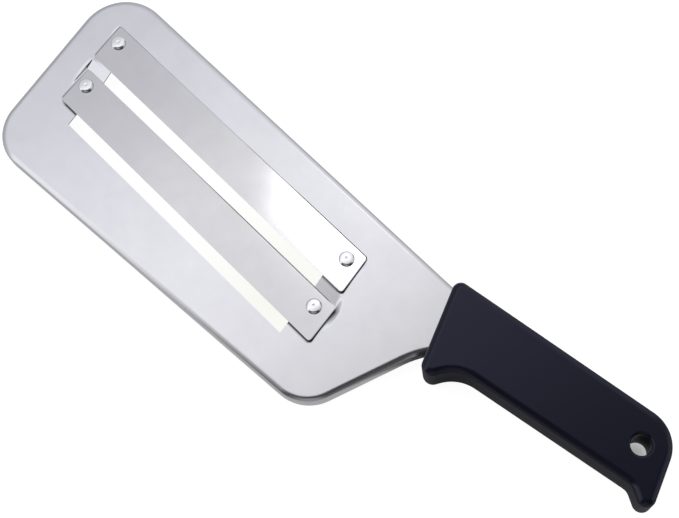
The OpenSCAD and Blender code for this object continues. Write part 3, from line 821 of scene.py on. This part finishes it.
# Painted shade under the hang hole and near the handle, a painted ring of light for the bore, a painted warm
# cast.
WHITE, WARM = (1, 1, 1, 1), (0.93, 0.93, 0.88, 1)
UNDER_HOLE = (0.014, 0.018), (0.30, 0.92)
TO_STEEL = (0.105, 0.118), (0.0, 0.40)
TO_BORE, BORE_OUT = ((0.0144, 0.0149), (0.0, 0.10)), ((0.0152, 0.0165), (1, 0))
SLOT_HEEL, WARM_WITHIN = (-0.166, -0.058, -0.012), ((0.060, 0.010), (0, 1))


def maths(tree, operation, *values):
    """A maths node: each value is a number or the output of another node."""
    node = tree.nodes.new("ShaderNodeMath")
    node.operation = operation
    for socket, value in zip(node.inputs, values):
        if isinstance(value, bpy.types.NodeSocket):
            tree.links.new(value, socket)
        else:
            socket.default_value = value
    return node.outputs[0]


def ranged(tree, value, before, after):
    """A value mapped from one range to another and held at both ends."""
    node = tree.nodes.new("ShaderNodeMapRange")
    for socket, number in zip(("From Min", "From Max", "To Min", "To Max"), (*before, *after)):
        node.inputs[socket].default_value = number
    tree.links.new(value, node.inputs["Value"])
    return node.outputs[0]


def distance_from(tree, spot):
    """Distance of a shaded point from a spot in the object's own coordinates."""
    node, place = tree.nodes.new("ShaderNodeVectorMath"), tree.nodes.new("ShaderNodeTexCoord")
    node.operation = "DISTANCE"
    node.inputs[1].default_value = spot
    tree.links.new(place.outputs["Object"], node.inputs[0])
    return node.outputs["Value"]


paper = bpy.data.materials.new("white_paper")
paper.use_nodes = True
tree = paper.node_tree
tree.nodes.remove(tree.nodes["Principled BSDF"])
matt, glow, both, path = (tree.nodes.new(f"ShaderNode{kind}") for kind in (
    "BsdfDiffuse", "Emission", "AddShader", "LightPath"))
matt.inputs["Color"].default_value = PAPER
seen = maths(tree, "MAXIMUM", path.outputs["Is Camera Ray"], path.outputs["Is Transmission Ray"])
from_hole = distance_from(tree, (0, 0, 0))
to_bore = maths(tree, "MULTIPLY", ranged(tree, from_hole, *TO_BORE), ranged(tree, from_hole, *BORE_OUT))
mirrored = maths(tree, "ADD", ranged(tree, from_hole, *TO_STEEL), to_bore)
to_steel = maths(tree, "MULTIPLY", path.outputs["Is Glossy Ray"], mirrored)
strength = maths(tree, "MULTIPLY_ADD", seen, ranged(tree, from_hole, *UNDER_HOLE), to_steel)
warmth = ranged(tree, distance_from(tree, SLOT_HEEL), *WARM_WITHIN)
tree.links.new(strength, glow.inputs["Strength"])
tree.links.new(mixed(tree, warmth, WHITE, WARM), glow.inputs["Color"])
tree.links.new(matt.outputs[0], both.inputs[0])
tree.links.new(glow.outputs[0], both.inputs[1])
tree.links.new(both.outputs[0], tree.nodes["Material Output"].inputs["Surface"])
floor.data.materials.append(paper)
print("nodes of the floor's light:", len(tree.nodes))

# %% [markdown]
# ## Brightness of the surroundings
# Polished steel shows what it mirrors, so its shades come from the surroundings. A photographer
# would hang paper and cloth over the table. Here two ramps say how bright the sky is along the
# length of the cutter: one for what the plate mirrors and one for what the tilted blades mirror.
# Each stop is a place from -1 towards the toe to 1, a brightness and a share of blue.

# %% Ramps of the sky
OVER_PLATE = [(-1.0, 0.55, 1.05), (-0.70, 0.66, 1.08), (-0.62, 0.70, 1.09), (-0.54, 0.81, 1.09),
              (-0.50, 0.89, 1.09), (-0.46, 1.08, 1.06), (-0.41, 1.29, 1.04), (-0.37, 1.43, 1.03),
              (-0.33, 1.48, 1.03), (-0.29, 1.38, 1.03), (-0.25, 1.23, 1.02), (-0.21, 1.08, 1.02),
              (-0.17, 0.68, 1.02), (-0.11, 0.15, 1.05), (-0.04, 0.08, 1.05), (0.08, 0.06, 1.05)]
OVER_BLADES = [(-1.0, 0.6, 1.05), (-0.70, 0.72, 1.08), (-0.60, 0.73, 1.07), (-0.55, 0.82, 1.07),
               (-0.51, 0.90, 1.06), (-0.47, 1.10, 1.05), (-0.445, 1.19, 1.03), (-0.42, 1.12, 1.03),
               (-0.385, 1.07, 1.04), (-0.33, 1.07, 1.03), (-0.21, 0.95, 1.02), (-0.11, 0.4, 1.05),
               (0.08, 0.06, 1.05)]


def bright_ramp(tree, place, stops):
    """A ramp of brightness and blueness over places from -1 to 1, at half its level so no stop passes 1."""
    ramp = tree.nodes.new("ShaderNodeValToRGB")
    marks = ramp.color_ramp.elements
    while len(marks) < len(stops):
        marks.new(0.5)
    for mark, (x, bright, blue) in zip(marks, stops):
        mark.position = 0.5 + 0.5 * x
        mark.color = (bright / 2, bright / 2, bright / 2 * blue, 1)
    tree.links.new(maths(tree, "MULTIPLY_ADD", place, 0.5, 0.5), ramp.inputs["Fac"])
    return ramp.outputs["Color"]


print("stops of the sky:", len(OVER_PLATE), "and", len(OVER_BLADES))

# %% [markdown]
# ## World
# The tilted blades mirror a part of the sky further towards the spine, so one ramp takes over from
# the other across the cutter. A lighter sky to the sides keeps the steel grey when it is seen from
# elsewhere, and a strength of about two makes up for the ramps' half level.

# %% World
LEAN_LOW, LEAN_HIGH, SKY_LEAN = -0.25, 0.32, -0.3
TO_BLADES = (0.20, 0.26), (0, 1)
SIDE_SKY, SIDE_FROM, SIDE_ALONG = (1, 1, 1.05, 1), ((0.25, 0.5), (0, 1)), ((0.0, 0.40), (0, 1))
SIDE_SHARE = (-0.25, 0.25), (0.18, 0.45)
BY_HEIGHT, BY_SPINE = ((0.0, 0.8), (1.7, 2.0)), ((0.75, 1.0), (1, 0.8))
world = bpy.data.worlds.new("studio")
bpy.context.scene.world = world
world.use_nodes = True
tree = world.node_tree
way, split = tree.nodes.new("ShaderNodeTexCoord"), tree.nodes.new("ShaderNodeSeparateXYZ")
tree.links.new(way.outputs["Generated"], split.inputs[0])
x_way, y_way, z_way = split.outputs
held_y = maths(tree, "MINIMUM", maths(tree, "MAXIMUM", y_way, LEAN_LOW), LEAN_HIGH)
along = maths(tree, "MULTIPLY_ADD", held_y, SKY_LEAN, x_way)
sky = mixed(tree, ranged(tree, y_way, *TO_BLADES),
            bright_ramp(tree, along, OVER_PLATE), bright_ramp(tree, along, OVER_BLADES))
sideways = ranged(tree, maths(tree, "ABSOLUTE", y_way), *SIDE_FROM)
beside = maths(tree, "MULTIPLY", sideways, ranged(tree, x_way, *SIDE_ALONG))
beside = maths(tree, "MULTIPLY", beside, ranged(tree, y_way, *SIDE_SHARE))
level = maths(tree, "MULTIPLY", ranged(tree, z_way, *BY_HEIGHT), ranged(tree, y_way, *BY_SPINE))
tree.links.new(mixed(tree, beside, sky, SIDE_SKY), tree.nodes["Background"].inputs["Color"])
tree.links.new(level, tree.nodes["Background"].inputs["Strength"])
print("nodes of the sky:", len(tree.nodes))

# %% [markdown]
# ## Lamps
# The rear blade flashes because it mirrors a lamp that no other piece mirrors. Three panels hang
# side by side, high up beyond the spine: a bright one, a dimmer one beside it and a small one that
# rounds off the corner of the flash. A panel lamp shines straight down unless it is turned.

# %% Lamps
LAMP_HEIGHT = 600


def panel(name, x, y, size, radiance):
    """A rectangular lamp that looks down: an even panel of area A gives power = radiance * pi * A."""
    lamp = bpy.data.lights.new(name, "AREA")
    lamp.shape = "RECTANGLE"
    lamp.size, lamp.size_y = np.multiply(size, MM).tolist()
    lamp.energy = radiance * np.pi * lamp.size * lamp.size_y
    thing = bpy.data.objects.new(name, lamp)
    thing.location = np.multiply((x, y, LAMP_HEIGHT), MM).tolist()
    bpy.context.scene.collection.objects.link(thing)


panel("flash", x=-335, y=202, size=(104, 62), radiance=1.8)
panel("flash_edge", x=-403, y=202, size=(32, 62), radiance=1.38)
panel("flash_corner", x=-431, y=214, size=(24, 38), radiance=1.30)

# %% [markdown]
# ## Camera
# The camera looks down on the cutter from about sixty centimetres above the table, and it is turned,
# so that the cutter lies aslant in the picture. Its place, its aim and the direction to the right of
# the picture were found by matching the outline, and the lens follows from the focal length in pixels.

# %% Camera
WIDTH_PX, FOCAL_PX = 679, 1400
EYE = np.array([17.91, -123.81, 613.11])
AIM = np.array([-155.19, -29.62, 0.0])
IMAGE_RIGHT = np.array([0.699055, 0.709587, -0.088368])
camera = bpy.data.cameras.new("camera")
camera.sensor_width = 36
camera.lens = FOCAL_PX / WIDTH_PX * camera.sensor_width
towards_eye = (EYE - AIM) / np.linalg.norm(EYE - AIM)
right = IMAGE_RIGHT - towards_eye * (IMAGE_RIGHT @ towards_eye)
right /= np.linalg.norm(right)
up = np.cross(towards_eye, right)
view = bpy.data.objects.new("camera", camera)
view.matrix_world = Matrix(np.column_stack([
    [*right, 0], [*up, 0], [*towards_eye, 0], [*(EYE * MM), 1]]).tolist())
bpy.context.scene.collection.objects.link(view)
bpy.context.scene.camera = view
bpy.context.scene.view_settings.view_transform = "Standard"
print("lens:", round(camera.lens, 2), "mm")
